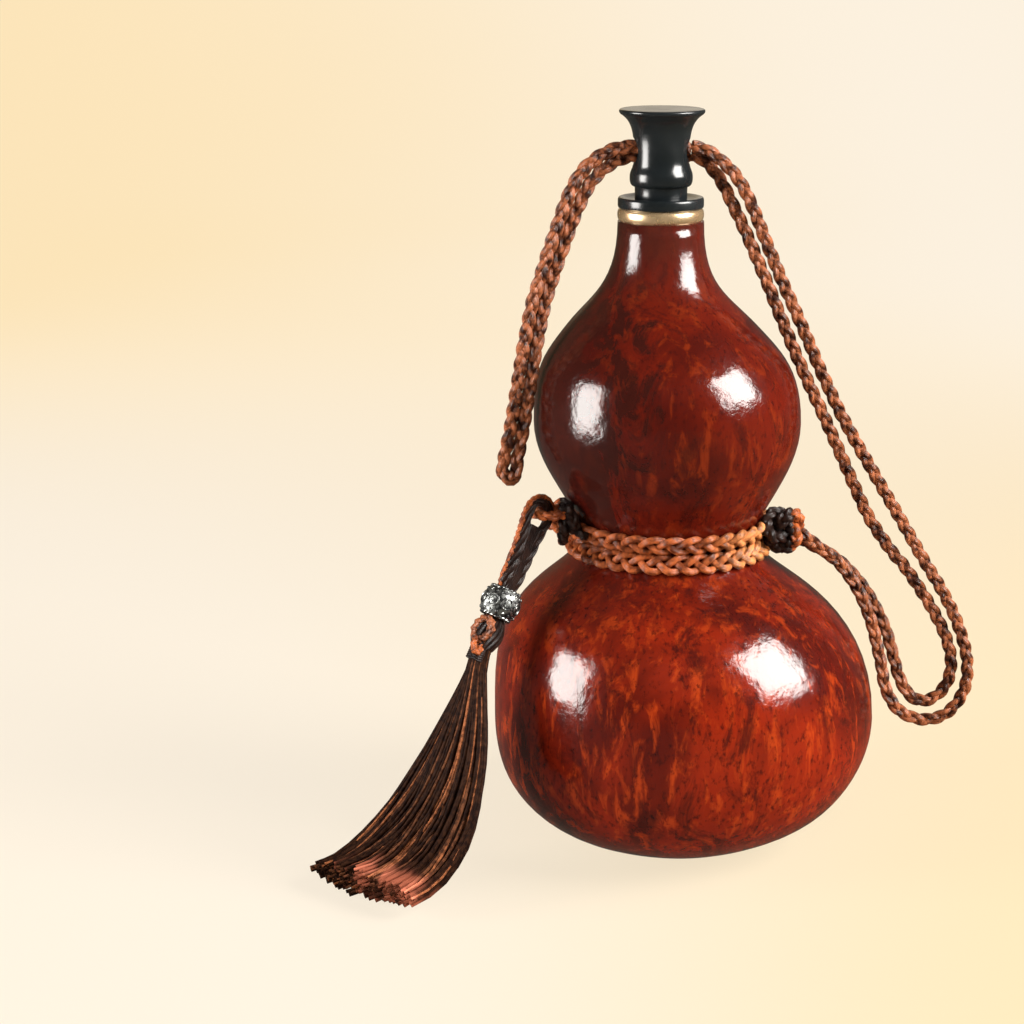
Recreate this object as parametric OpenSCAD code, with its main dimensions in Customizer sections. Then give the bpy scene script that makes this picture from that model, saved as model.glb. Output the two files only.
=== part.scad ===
// Gourd water bottle: a dried double gourd with a turned stopper, a brass neck ring,
// a plaited cord lashed round its waist, a doubled carrying cord and a beaded tassel.
// Millimetres, +Z up. The origin is the centre of the sanded foot that it stands on.

/* [Gourd] */
// Radius of the belly at its widest
belly_r = 61.5; // [57:0.5:65]
// Height of the belly's widest ring
belly_z = 43; // [39:0.5:47]
// Radius at the bottom of the waist
waist_r = 26.8; // [25:0.2:29]
// Height of the waist
waist_z = 102.8; // [100:0.2:106]
// Radius of the crown, the upper lobe
crown_r = 42.3; // [39:0.1:45]
// Height of the crown's widest ring
crown_z = 139.5; // [136:0.5:143]
// Radius where the crown's dome turns into the neck
shoulder_r = 30; // [28:0.2:32]
// Height where the crown's dome turns into the neck
shoulder_z = 170; // [168:0.5:173]
// Radius of the neck at its cut top
neck_r = 13.4; // [12.8:0.1:15]
// Height of the neck's cut top
neck_z = 203; // [200:0.5:208]
// Thickness of the gourd's wall
wall = 3; // [2:0.1:3.4]
// Depth that is sanded off the round bottom to make the foot
foot_cut = 1; // [0.6:0.1:1.6]
// Sideways place of the belly's centre
belly_lean = 2.5; // [0:0.1:4]
// Sideways place of the waist's centre
waist_lean = -3.2; // [-5:0.1:0]
// Sideways place of the crown's centre
crown_lean = -4; // [-6:0.1:0]
// Sideways place of the neck's centre
neck_lean = -7; // [-8:0.1:-5]

/* [Neck fittings] */
// Height of the brass ring
ring_h = 4.2; // [3:0.1:5]
// Radius of the brass ring
ring_r = 13.5; // [13:0.1:15]
// Radius of the collar
collar_r = 13.4; // [12.8:0.1:15]
// Height of the collar above the ring
collar_h = 3.4; // [3:0.1:6]
// Depth of the dish in the collar's top
dish = 1; // [0.4:0.1:2]
// Radius of the sleeve that the collar holds in the neck
sleeve_r = 10.2; // [9.4:0.1:10.3]
// Length of the sleeve below the neck's top
sleeve_l = 13; // [8:1:15]
// Radius of the bore that takes the plug
bore_r = 7.5; // [6.5:0.1:8.2]

/* [Stopper] */
// Height of the knob above its seat
knob_h = 28.2; // [25:0.2:34]
// Radius of the knob's rim
rim_r = 13.2; // [12:0.1:15]
// Radius of the knob's foot, which rests in the dish
knob_foot_r = 8.2; // [7.9:0.1:9]
// Radius of the knob's waist
knob_waist_r = 8.6; // [8:0.1:9.5]
// Radius of the turned bead round the knob
bead_turning_r = 9.8; // [9.2:0.1:11]
// Height of the plain foot under that bead
foot_h = 4.2; // [3.6:0.1:4.8]
// Height above the seat where the bead is widest
turning_h = 7; // [6.6:0.1:7.6]
// Height above the seat where the knob starts to flare
flare_h = 13; // [12.6:0.1:14]
// Diameter of the cord hole through the knob
cord_hole_d = 8.4; // [8.2:0.1:9]
// Height of the cord hole above the seat
cord_hole_h = 15.2; // [14.6:0.1:15.8]
// Length of the plug below the seat
plug_l = 19; // [14:0.5:22]
// Gap between the plug and the bore
plug_gap = 0.3; // [0.2:0.05:0.6]
// Thickness of a seal ring
seal_d = 2; // [1.4:0.1:2.4]
// Running gap between a seal ring and the bore
seal_gap = 0.05; // [0.02:0.01:0.1]
// Number of seal rings
seal_n = 2; // [1:1:3]

/* [Waist lashing] */
// Width of one plaited turn
plait_w = 5; // [4.6:0.1:5.2]
// Thickness of one plaited turn
plait_t = 3.8; // [3.6:0.1:4.1]
// Thickness of a strand in the plait
strand_d = 1.3; // [1.1:0.1:1.4]
// Times that each strand crosses the plait and comes back
plait_n = 11; // [9:1:13]
// Gap between the lashing and the gourd
lash_gap = 0.2; // [0.1:0.1:0.5]
// Thickness of the cord in the knots
knot_cord_d = 3.4; // [3:0.1:3.5]
// Thickness of one strand of the carrying cord
cord_d = 4; // [3.4:0.1:4.1]

/* [Tassel] */
// Compass direction in which the tassel leans away from the bottle
tassel_azimuth = 40; // [34:1:46]
// Angle between the hanger and straight down
tassel_tilt = 31; // [26:1:36]
// Radius of the eye that carries the tassel
eye_r = 4.6; // [4.2:0.1:5]
// Thickness of the eye's cord
eye_cord_d = 3.6; // [3:0.1:3.8]
// Thickness of the hanger's cord
hanger_d = 3; // [2.4:0.1:3.2]
// Thickness of the hanger's cord above the bead, where nothing squeezes it
hanger_full_d = 4; // [3.2:0.1:4.2]
// Gap between the hanger and the eye
hanger_gap = 0.9; // [0.8:0.1:1]
// Length of the hanger from the eye to the head
hanger_l = 35; // [33:0.5:38]
// Diameter of the silver bead
bead_d = 12.4; // [11:0.2:14]
// Height of the silver bead
bead_h = 9.6; // [8:0.2:11]
// Gap between the bead and the hanger in its bore
bead_gap = 0.3; // [0.2:0.05:0.6]
// Number of openings round the bead
bead_holes = 10; // [8:1:12]
// Diameter of the tassel's head
head_d = 10.6; // [10:0.2:12]
// Diameter of the tassel where it is bound under the head
bound_d = 8.2; // [7.6:0.1:9]
// Length of the tassel's head
head_l = 10; // [8:0.5:12]
// Number of turns that bind the skirt
binding_n = 3; // [3:1:5]
// Width of the skirt at its tip
skirt_w = 34; // [30:1:36]
// Width that the skirt would reach at its top if it spread at once
skirt_swell = 69; // [55:1:72]
// Thickness of the skirt at its fullest
skirt_t = 15; // [12:0.5:16]

/* [Hidden] */
$fn = 64;

// Sides of the gourd's rings and steps along each stretch of its outline
gourd_sides = 36;
outline_steps = 6;
// Heights of the fittings that stack on the neck
ring_z = neck_z + ring_h;
collar_z = ring_z + collar_h;
seat_z = collar_z - dish;
rim_z = seat_z + knob_h;
hole_z = seat_z + cord_hole_h;
fitting_gap = 0.05;

// Steps along each strand of the plait, for each crossing
plait_steps = 9;
plait_sides = 6;
lash_upper_z = waist_z + plait_w / 2 + 0.2;
lash_lower_z = waist_z - plait_w / 2 - 0.2;

// Places of the knots on the outside of the lashing, and the cord's side steps
lash_r = waist_r + lash_gap + plait_t;
function beside_waist(out, azimuth, up) =
    [waist_lean + (lash_r + out) * cos(azimuth), (lash_r + out) * sin(azimuth), waist_z + up];
knot_left_azimuth = 203.5;
knot_left_out = 6.2;
knot_left_up = 7;
knot_left = beside_waist(knot_left_out, knot_left_azimuth, knot_left_up);
knot_right_azimuth = -13.6;
knot_right_out = 7.4;
knot_right_up = 3.2;
knot_right_facing = -72;
knot_right = beside_waist(knot_right_out, knot_right_azimuth, knot_right_up);
tie_gap = 1.2;
knot_r = 3.7;
knot_lift = 1.8;
cord_sides = 8;

// The eye's cord where the tassel hangs from it
hinge_azimuth = 205.4;
hinge_out = 15.4;
hinge_up = 10.7;
hinge = beside_waist(hinge_out, hinge_azimuth, hinge_up);
eye_centre = hinge + eye_r * [cos(tassel_azimuth), sin(tassel_azimuth), 0];
hanger_r = eye_cord_d / 2 + hanger_gap + hanger_d / 2;
leg_gap = 0.3;
leg_x = hanger_d / 2 + leg_gap;
bead_bore_r = leg_x + hanger_d / 2 + bead_gap;
bead_z = -hanger_l + bead_h / 2;
head_z = -hanger_l - head_l;
binding_d = 1.6;
binding_l = binding_n * binding_d;

// The knob's tenon in the plug, the plug, and its seal rings
tenon_r = 3.5;
tenon_end = 7;
tenon_z = seat_z - plug_l + tenon_end;
plug_r = bore_r - plug_gap;
seal_r = bore_r - seal_gap - seal_d / 2;
seal_end = 4.5;

// Outer strand of the carrying cord, from the stopper down its right side to the knot
outer_route = [[2.4, -1.4, 226.2], [6.5, -1.8, 225.2], [10.5, -2.2, 222.6], [14.5, -2.6, 219],
    [17.9, -3, 214.3], [20.8, -3, 208.8], [24, -3.5, 201.1], [30.4, -4, 186], [37.3, -5, 171],
    [44, -5, 156], [51.4, -5, 141], [60.7, -5, 125], [70.3, -4, 109], [79.8, -4, 93],
    [84.8, -4, 85], [89, -4, 77], [92.2, -4, 69], [94.2, -4, 61], [94.2, -4, 53],
    [91.6, -4, 46.5], [86.9, -4, 42], [79.7, -4, 40.8], [72.6, -4, 44], [68.4, -3.5, 51],
    [66.4, -3, 60], [64.2, -3, 69], [61.2, -4, 78], [57, -5, 86.5], [51.5, -6, 94],
    [46, -6.4, 98.6], [42, -6.5, 101.6], knot_right + [4.5, 1.5, -1.5]];
// Inner strand of the carrying cord
inner_route = [[2.4, 1.4, 223.2], [6, 1.2, 221.8], [9, 0.8, 219], [12, 0.2, 214.8],
    [15, -1, 208.8], [18.8, -2.5, 201.1], [25.5, -4, 186], [31.8, -5, 171], [38.4, -5, 156],
    [45.6, -5, 141], [53, -4, 125], [60.6, -3, 109], [68, -3, 98], [73, -3, 92], [78.6, -3, 84],
    [83.2, -3, 76.6], [87, -3, 69], [89.2, -3, 61], [88.6, -3, 54], [85.4, -3, 49],
    [81, -3, 46.8], [76.4, -3, 48.6], [73, -2, 54], [71, 0.5, 61], [68.2, 1.5, 70],
    [63.8, 1.5, 79], [58, 0.5, 87.4], [51.5, -1, 94], [46, -2, 97.6], [42, -2.4, 99.8],
    knot_right + [2, 5, -2.6]];
// Bight of the carrying cord: out through the knob, down its left side and back
loop_route = [[1.6, -1.4, 226.2], [-4, -1.4, 226.2], [-10, -1.4, 226.2], [-16, -1.6, 226.2],
    [-22, -3, 225.4], [-27.5, -4, 222.6], [-32.2, -5, 218.2], [-35.8, -6, 211.7],
    [-38.8, -7, 203.7], [-42, -8.5, 194.6], [-44.4, -9, 187], [-46.8, -10, 179.4],
    [-48.4, -10.5, 172], [-49.8, -11, 164.6], [-51.6, -11, 153], [-54, -11, 138],
    [-56, -11, 128], [-56, -11, 124.6], [-54, -11, 122.8], [-52, -11, 124.6], [-51.8, -11, 128],
    [-50, -10.4, 138], [-47.6, -10.2, 153], [-45.8, -10, 164.6], [-44.4, -9, 172],
    [-42.8, -8, 179.4], [-40.4, -7, 187], [-38, -6, 194], [-34.8, -4.6, 202.8],
    [-32, -3.4, 209.5], [-28.8, -2, 215.2], [-24.6, -0.6, 219.4], [-20, 0.6, 222],
    [-15.6, 1.2, 223], [-10, 1.4, 223.2], [-4, 1.4, 223.2], [1.6, 1.4, 223.2]];

// A point on a curve from a to d that leaves a towards b and reaches d from c
function curve_at(a, b, c, d, t) =
    pow(1 - t, 3) * a + 3 * pow(1 - t, 2) * t * b + 3 * (1 - t) * t * t * c + t * t * t * d;

// The points of that curve, without its last
function curve(a, b, c, d, n) = [for (i = [0 : n - 1]) curve_at(a, b, c, d, i / n)];

function unit(v) = v / norm(v);
function smooth(t) = t * t * (3 - 2 * t);

// Half outline of the gourd as radius and height, from its round bottom to the neck's top
waist_slope = [6.6, 17.8];
crown_slope = [6.4, 14.2];
shoulder_slope = [8.2, 9.4];
outline = concat(
    curve([0, -foot_cut], [0.82 * belly_r, -foot_cut], [belly_r, 0.56 * belly_z],
          [belly_r, belly_z], outline_steps + 3),
    curve([belly_r, belly_z], [belly_r, belly_z + 0.75 * (waist_z - belly_z)],
          [waist_r, waist_z] + [waist_slope[0], -waist_slope[1]], [waist_r, waist_z],
          outline_steps + 2),
    curve([waist_r, waist_z], [waist_r, waist_z] + crown_slope,
          [crown_r, crown_z - 0.35 * (crown_z - waist_z)], [crown_r, crown_z], outline_steps),
    curve([crown_r, crown_z], [crown_r, crown_z + 0.55 * (shoulder_z - crown_z)],
          [shoulder_r, shoulder_z] + [shoulder_slope[0], -shoulder_slope[1]],
          [shoulder_r, shoulder_z], outline_steps),
    curve([shoulder_r, shoulder_z], [shoulder_r, shoulder_z] + [-shoulder_slope[0], shoulder_slope[1]],
          [neck_r, neck_z - 0.62 * (neck_z - shoulder_z)], [neck_r, neck_z], outline_steps),
    [[neck_r, neck_z]]);
last = len(outline) - 1;

// Radius of the outline at a height
function gourd_r(z) = lookup(z, [for (p = outline) [p[1], p[0]]]);

// Where the gourd's centre line stands sideways at a height
lean_at = [[0, 0], [belly_z, belly_lean], [waist_z, waist_lean], [crown_z, crown_lean],
           [neck_z - sleeve_l - 2, neck_lean]];
function lean_between(i, z) =
    let (a = lean_at[i], b = lean_at[i + 1])
    z > b[0] && i < len(lean_at) - 2 ? lean_between(i + 1, z)
    : a[1] + (b[1] - a[1]) * smooth(min(1, max(0, (z - a[0]) / (b[0] - a[0]))));
function lean(z) = lean_between(0, z);

// The inside of the wall, at right angles to the outline
function inward(i) =
    let (d = unit(outline[min(i + 1, last)] - outline[i - 1])) [-d[1], d[0]];
inside = concat([[neck_r - wall, neck_z]],
    [for (i = [last - 1 : -2 : 2]) outline[i] + wall * inward(i)], [[0, wall - foot_cut]]);

function ring_points(p, n) =
    [for (j = [0 : n - 1]) [lean(p[1]) + p[0] * cos(360 * j / n), p[0] * sin(360 * j / n), p[1]]];

// Faces that join each ring of points to the next
function side_faces(rings, n, closed = false) =
    [for (i = [0 : rings - (closed ? 1 : 2)], j = [0 : n - 1])
        let (a = i * n + j, b = i * n + (j + 1) % n, up = ((i + 1) % rings) * n,
             c = up + (j + 1) % n, d = up + j)
        each [[a, d, c], [a, c, b]]];

// A closed skin through rings of points, with a flat end at the first and last ring
module skin(rings) {
    n = len(rings[0]);
    m = len(rings);
    polyhedron([for (r = rings) each r],
               concat(side_faces(m, n), [[for (j = [0 : n - 1]) j]],
                      [[for (j = [n - 1 : -1 : 0]) (m - 1) * n + j]]));
}

// Direction of a route at one of its points
function heading(p, i, closed) =
    let (n = len(p), a = closed ? (i + n - 1) % n : max(i - 1, 0),
         b = closed ? (i + 1) % n : min(i + 1, n - 1))
    unit(p[b] - p[a]);

// Ring of points square to a route, measured from a reference direction
function cord_ring(p, i, r, n, side, closed) =
    let (t = heading(p, i, closed), u = unit(cross(t, side)), v = cross(t, u))
    [for (j = [0 : n - 1]) p[i] + r * (cos(360 * j / n) * u + sin(360 * j / n) * v)];

// A round cord along a route that never runs along the reference direction; its
// thickness is one number or one for each point
module cord(route, d, side = [0, 1, 0]) {
    skin([for (i = [0 : len(route) - 1])
        cord_ring(route, i, (is_list(d) ? d[i] : d) / 2, cord_sides, side, false)]);
}

// An endless cord whose reference direction points away from a centre line, or is given
module endless_cord(route, d, n, centre, side) {
    rings = [for (i = [0 : len(route) - 1])
        let (from = route[i] - centre)
        cord_ring(route, i, d / 2, n, is_undef(side) ? [from[0], from[1], 0] : side, true)];
    polyhedron([for (r = rings) each r], side_faces(len(rings), n, true));
}

// The gourd itself: one leaning lofted shell, open at the neck, sanded flat underneath
module gourd_shell() {
    color([0.42, 0.09, 0.05])
    difference() {
        gourd_loft();
        translate([-belly_r, -belly_r, -4 * foot_cut])
            cube([2 * belly_r, 2 * belly_r, 4 * foot_cut]);
    }
}

module gourd_loft() {
    n = gourd_sides;
    profile = concat([for (i = [1 : last]) outline[i]], [for (i = [0 : len(inside) - 2]) inside[i]]);
    m = len(profile);
    points = concat([for (p = profile) each ring_points(p, n)], [[0, 0, -foot_cut], [0, 0, wall - foot_cut]]);
    faces = concat(side_faces(m, n),
        [for (j = [0 : n - 1]) [m * n, j, (j + 1) % n]],
        [for (j = [0 : n - 1]) [m * n + 1, (m - 1) * n + (j + 1) % n, (m - 1) * n + j]]);
    polyhedron(points, faces);
}

// Brass ring with eased edges, between the neck's cut top and the collar
module brass_ring() {
    edge = 0.9;
    inner_r = sleeve_r + fitting_gap;
    color([0.86, 0.68, 0.32])
    translate([neck_lean, 0, neck_z])
    rotate_extrude() {
        translate([inner_r, 0]) square([ring_r - edge - inner_r, ring_h]);
        translate([inner_r, edge]) square([ring_r - inner_r, ring_h - 2 * edge]);
        for (z = [edge, ring_h - edge])
            translate([ring_r - edge, z]) circle(edge);
    }
}

// Turned collar with a dished top, and the sleeve that holds it in the neck
module mouth_collar() {
    edge = 0.6;
    color([0.06, 0.06, 0.07])
    translate([neck_lean, 0, 0])
    rotate_extrude()
    difference() {
        polygon([[bore_r, neck_z - sleeve_l], [sleeve_r - edge, neck_z - sleeve_l],
                 [sleeve_r, neck_z - sleeve_l + edge], [sleeve_r, ring_z], [collar_r - edge / 2, ring_z],
                 [collar_r, ring_z + edge / 2], [collar_r, collar_z - edge],
                 [collar_r - edge, collar_z], [collar_r - 2 * edge, collar_z],
                 [knob_foot_r + 1.4, seat_z], [bore_r, seat_z]]);
        translate([sleeve_r, neck_z - sleeve_l / 2]) circle(0.5, $fn = 24);
    }
}

// Turned knob: foot, bead that swells out of the waist, flared rim and domed top
module stopper_knob() {
    bead_z = seat_z + turning_h;
    flare_z = seat_z + flare_h;
    mouth = 3;
    edge = 0.8;
    color([0.05, 0.05, 0.06])
    difference() {
        translate([neck_lean, 0, 0])
        rotate_extrude()
        polygon(concat([[0, tenon_z], [tenon_r, tenon_z], [tenon_r, seat_z], [knob_foot_r, seat_z]],
            curve([knob_foot_r, seat_z + foot_h], [bead_turning_r, seat_z + foot_h],
                  [bead_turning_r, bead_z - edge], [bead_turning_r, bead_z], 8),
            curve([bead_turning_r, bead_z], [bead_turning_r, bead_z + 3 * edge],
                  [knob_waist_r, bead_z + 3 * edge], [knob_waist_r, flare_z], 8),
            curve([knob_waist_r, flare_z], [knob_waist_r, flare_z + 0.46 * (rim_z - flare_z)],
                  [0.75 * rim_r, rim_z - 6 * edge], [rim_r, rim_z - edge], 12),
            curve([rim_r, rim_z - edge], [rim_r, rim_z - edge / 2], [rim_r - edge / 2, rim_z - edge / 2],
                  [rim_r - edge, rim_z - edge / 2], 4),
            curve([rim_r - edge, rim_z - edge / 2], [rim_r / 2, rim_z], [rim_r / 4, rim_z], [0, rim_z], 6),
            [[0, rim_z]]));
        translate([neck_lean, 0, hole_z]) rotate([0, 90, 0])
            cylinder(d = cord_hole_d, h = 4 * rim_r, center = true);
        for (turn = [0, 180])
            translate([neck_lean, 0, hole_z]) rotate([0, 90, turn]) translate([0, 0, knob_waist_r - mouth / 2])
                cylinder(d1 = cord_hole_d, d2 = cord_hole_d + mouth, h = mouth);
    }
}

// Plug on the knob's tenon, with a groove for each seal ring
function seal_z(i) = seat_z - seal_end - i * (plug_l - 2 * seal_end) / max(1, seal_n - 1);

module stopper_plug() {
    tip = 1.2;
    color([0.72, 0.53, 0.34])
    translate([neck_lean, 0, 0])
    rotate_extrude()
    difference() {
        polygon([[0, seat_z - plug_l], [plug_r - tip, seat_z - plug_l], [plug_r, seat_z - plug_l + tip],
                 [plug_r, seat_z], [tenon_r + fitting_gap, seat_z],
                 [tenon_r + fitting_gap, tenon_z - fitting_gap], [0, tenon_z - fitting_gap]]);
        for (i = [0 : seal_n - 1])
            translate([seal_r, seal_z(i)]) circle(seal_d / 2 + fitting_gap / 2);
    }
}

// Soft rings that seal the plug in the bore
module seal_rings() {
    color([0.85, 0.83, 0.78])
    for (i = [0 : seal_n - 1])
        translate([neck_lean, 0, seal_z(i)])
        rotate_extrude()
        translate([seal_r, 0]) circle(seal_d / 2);
}

// One turn of three-strand plait round the waist
module plaited_turn(z) {
    mid_r = lash_gap + plait_t / 2;
    swing = (plait_w - strand_d) / 2;
    lift = (plait_t - strand_d) / 2;
    steps = plait_n * plait_steps;
    centre = [lean(z), 0, z];
    for (k = [0 : 2])
        endless_cord([for (i = [0 : steps - 1])
            let (a = 360 * i / steps, p = plait_n * a + 120 * k, up = swing * sin(p),
                 r = gourd_r(z + up) + mid_r + lift * sin(2 * p))
            centre + [r * cos(a), r * sin(a), up]], strand_d, plait_sides, centre);
}

module waist_cord_upper() {
    color([0.62, 0.30, 0.13]) plaited_turn(lash_upper_z);
}

module waist_cord_lower() {
    color([0.60, 0.28, 0.12]) plaited_turn(lash_lower_z);
}

// An overhand knot drawn tight, as a closed three-lobed turn of cord
module overhand_knot(place, facing) {
    steps = 36;
    translate(place) rotate(facing)
    endless_cord([for (i = [0 : steps - 1])
        let (t = 360 * i / steps, r = knot_r + knot_lift * cos(3 * t))
        [r * cos(2 * t), r * sin(2 * t), knot_lift * sin(3 * t)]],
        knot_cord_d, cord_sides, [0, 0, 0], [0, 0, 1]);
}

module waist_knot_right() {
    color([0.20, 0.08, 0.05]) overhand_knot(knot_right, [0, 90, knot_right_facing]);
}

// The left knot, the end of the lashing that ties it, and the eye that the tassel hangs from
module waist_knot_left() {
    color([0.20, 0.08, 0.05]) {
        overhand_knot(knot_left, [0, 90, knot_left_azimuth]);
        cord([knot_left, beside_waist(knot_cord_d, knot_left_azimuth + 7, 4.8),
              beside_waist(knot_cord_d / 2 + tie_gap, knot_left_azimuth + 15, 3)], knot_cord_d, [0, 0, 1]);
        translate(eye_centre) rotate_extrude() translate([eye_r, 0]) circle(eye_cord_d / 2);
    }
}

module carry_cord_outer() {
    color([0.50, 0.24, 0.13]) cord(outer_route, cord_d);
}

module carry_cord_inner() {
    color([0.44, 0.20, 0.11]) cord(inner_route, cord_d);
}

module carry_loop() {
    color([0.55, 0.27, 0.15]) cord(loop_route, cord_d);
}

// Stands a tassel piece in the leaning line of the hanger, with the eye's cord at the top
module hang() {
    translate(hinge) rotate([0, 0, tassel_azimuth]) rotate([0, tassel_tilt, 0]) children();
}

// Doubled cord that loops over the eye, and narrows to run down through the bead
module tassel_hanger() {
    loop = [for (a = [0 : 20 : 180]) [hanger_r * cos(a), 0, hanger_r * sin(a), hanger_d]];
    bead_top = bead_h - hanger_l;
    full_x = hanger_full_d / 2 + leg_gap;
    squeeze_z = -0.4 * hanger_l;
    leg = [[leg_x, 0, head_z + 2, hanger_d], [leg_x, 0, -hanger_l, hanger_d], [leg_x, 0, bead_top, hanger_d],
           [full_x, 0, bead_top + hanger_d, hanger_full_d], [full_x, 0, squeeze_z, hanger_full_d]];
    back = [for (i = [len(leg) - 1 : -1 : 0]) [-leg[i][0], 0, leg[i][2], leg[i][3]]];
    path = concat(leg, loop, back);
    color([0.13, 0.07, 0.05]) hang() cord([for (p = path) [p[0], p[1], p[2]]], [for (p = path) p[3]]);
}

// Pierced silver bead that turns on the hanger
module silver_bead() {
    thick = 1.1;
    hole_d = 2;
    color([0.72, 0.72, 0.70]) hang() translate([0, 0, bead_z])
    difference() {
        rotate_extrude()
        difference() {
            translate([bead_d / 2 - bead_h / 2, 0]) circle(bead_h / 2);
            translate([-bead_d, -bead_h]) square([bead_d + bead_bore_r, 2 * bead_h]);
            translate([bead_d / 2 - bead_h / 2, 0]) circle(bead_h / 2 - thick);
        }
        for (i = [0 : bead_holes - 1])
            rotate([90, 0, 360 * i / bead_holes]) cylinder(d = hole_d, h = bead_d, $fn = 16);
    }
}

// Wrapped head that the hanger ends in
module tassel_head() {
    wraps = 4;
    pitch = head_l / wraps;
    floor_t = 1.5;
    color([0.45, 0.20, 0.10]) hang() translate([0, 0, head_z])
    difference() {
        rotate_extrude()
        union() {
            translate([0, pitch * 0.2]) square([head_d / 2 - 0.5, head_l - pitch * 0.4]);
            for (i = [0 : wraps - 1])
                translate([head_d / 2 - pitch / 2, (i + 0.5) * pitch]) circle(pitch / 2, $fn = 32);
        }
        for (x = [-leg_x, leg_x])
            translate([x, 0, floor_t]) cylinder(d = hanger_d + 2 * fitting_gap, h = head_l, $fn = 32);
    }
}

// Turns of thread that bind the top of the skirt
module tassel_binding() {
    color([0.30, 0.13, 0.08]) hang() translate([0, 0, head_z - binding_l])
    rotate_extrude()
    for (i = [0 : binding_n - 1]) {
        translate([bound_d / 2, (i + 0.5) * binding_d]) circle(binding_d / 2, $fn = 24);
        translate([(bound_d - binding_d) / 2, (i + 0.2) * binding_d]) square([binding_d / 2, 0.6 * binding_d]);
    }
}

// Skirt of cords: it drops from the binding, bends away from the bottle and spreads
// to a slanting tip just above the floor
skirt_out = [-cos(tassel_azimuth), -sin(tassel_azimuth), 0];
skirt_side = [sin(tassel_azimuth), -cos(tassel_azimuth), 0];
function along_hanger(z) = [-z * sin(tassel_tilt), hinge[2] + z * cos(tassel_tilt)];
skirt_top = along_hanger(head_z);
skirt_bend = along_hanger(head_z - 0.6 * head_l);
skirt_tip = [72.3, 5.8];
skirt_run = 31.3;
skirt_end = [skirt_tip[0] - skirt_run, skirt_tip[1] + 2];
skirt_drift = -10;
skirt_bow = 40;
// Part of the skirt's length that stays bound, and how fast it spreads below that
skirt_bound = 0.07;
skirt_spread = 1.27;
flutes = 9;
flute_depth = 0.06;
skirt_rings = 12;

module tassel_skirt() {
    n = 3 * flutes;
    bound_r = bound_d / 2 - 1.3 * binding_d;
    color([0.16, 0.07, 0.04])
    skin([for (i = [0 : skirt_rings])
        let (t = i / skirt_rings, p = curve_at(skirt_top, skirt_bend, skirt_end, skirt_tip, t),
             q = curve_at(skirt_top, skirt_bend, skirt_end, skirt_tip, t + 0.01)
                 - curve_at(skirt_top, skirt_bend, skirt_end, skirt_tip, t - 0.01),
             d = unit(q), full = smooth(min(1, max(0, t - skirt_bound) * skirt_spread)),
             w = bound_r + (skirt_swell * (1 - t) + skirt_w * t - 2 * bound_r) / 2 * full,
             h = bound_r + (skirt_t - 2 * bound_r) / 2 * full * (1 - t / 2),
             aside = t * t * (skirt_drift + skirt_bow * (1 - t)))
        [for (j = [0 : n - 1])
            let (f = 360 * j / n, s = 1 + flute_depth * full * cos(flutes * f), x = h * s * cos(f),
                 y = w * s * sin(f) + aside)
            [hinge[0], hinge[1], 0] + (p[0] + x * d[1]) * skirt_out + y * skirt_side
                + [0, 0, p[1] - x * d[0]]]]);
}

gourd_shell();
brass_ring();
mouth_collar();
stopper_knob();
stopper_plug();
seal_rings();
waist_cord_upper();
waist_cord_lower();
waist_knot_right();
waist_knot_left();
carry_cord_outer();
carry_cord_inner();
carry_loop();
tassel_hanger();
silver_bead();
tassel_head();
tassel_binding();
tassel_skirt();
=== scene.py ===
import math
import random

import bpy
from mathutils import Matrix, Vector


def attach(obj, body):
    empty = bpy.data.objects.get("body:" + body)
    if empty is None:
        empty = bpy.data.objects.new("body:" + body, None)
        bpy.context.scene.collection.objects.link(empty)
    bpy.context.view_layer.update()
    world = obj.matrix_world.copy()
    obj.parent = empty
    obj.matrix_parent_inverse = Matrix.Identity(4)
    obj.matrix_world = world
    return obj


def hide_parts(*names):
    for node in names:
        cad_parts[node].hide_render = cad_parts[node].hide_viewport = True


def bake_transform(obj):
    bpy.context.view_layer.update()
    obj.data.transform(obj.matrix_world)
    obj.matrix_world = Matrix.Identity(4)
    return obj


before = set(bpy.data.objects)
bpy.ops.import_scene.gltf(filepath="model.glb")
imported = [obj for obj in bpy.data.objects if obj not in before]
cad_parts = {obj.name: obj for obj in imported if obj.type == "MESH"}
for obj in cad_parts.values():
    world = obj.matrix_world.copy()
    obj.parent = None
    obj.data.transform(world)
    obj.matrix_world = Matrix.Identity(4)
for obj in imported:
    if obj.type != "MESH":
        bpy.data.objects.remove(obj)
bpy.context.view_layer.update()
dice = random.Random(7)

# ---- Camera: the photograph's angle ----

CAMERA_PLACE = (-0.0533, -0.760, 0.300)
CAMERA_TILT = 14.0756
# By half the picture's width and the lens's focal length, both in pixels
CAMERA_ANGLE = 2 * math.atan(512 / 2441)

camera_data = bpy.data.cameras.new("camera")
camera_data.angle = CAMERA_ANGLE
camera = bpy.data.objects.new("camera", camera_data)
camera.location = CAMERA_PLACE
camera.rotation_euler = (math.radians(90 - CAMERA_TILT), 0, 0)
bpy.context.scene.collection.objects.link(camera)
bpy.context.scene.camera = camera
bpy.context.scene.view_settings.view_transform = "Standard"

# ---- Small workshop helpers ----


def mm(*numbers):
    return Vector([n / 1000 for n in numbers])


def clear_selection():
    if bpy.context.object and bpy.context.object.mode != "OBJECT":
        bpy.ops.object.mode_set(mode="OBJECT")
    bpy.ops.object.select_all(action="DESELECT")


def pick(piece):
    clear_selection()
    piece.select_set(True)
    bpy.context.view_layer.objects.active = piece


def settle(piece):
    """The piece's place goes into its mesh, and its object to the origin."""
    pick(piece)
    bpy.ops.object.transform_apply(location=True, rotation=True, scale=True)


def name_piece(piece, name):
    piece.name = name
    piece.data.name = name
    return piece


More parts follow.
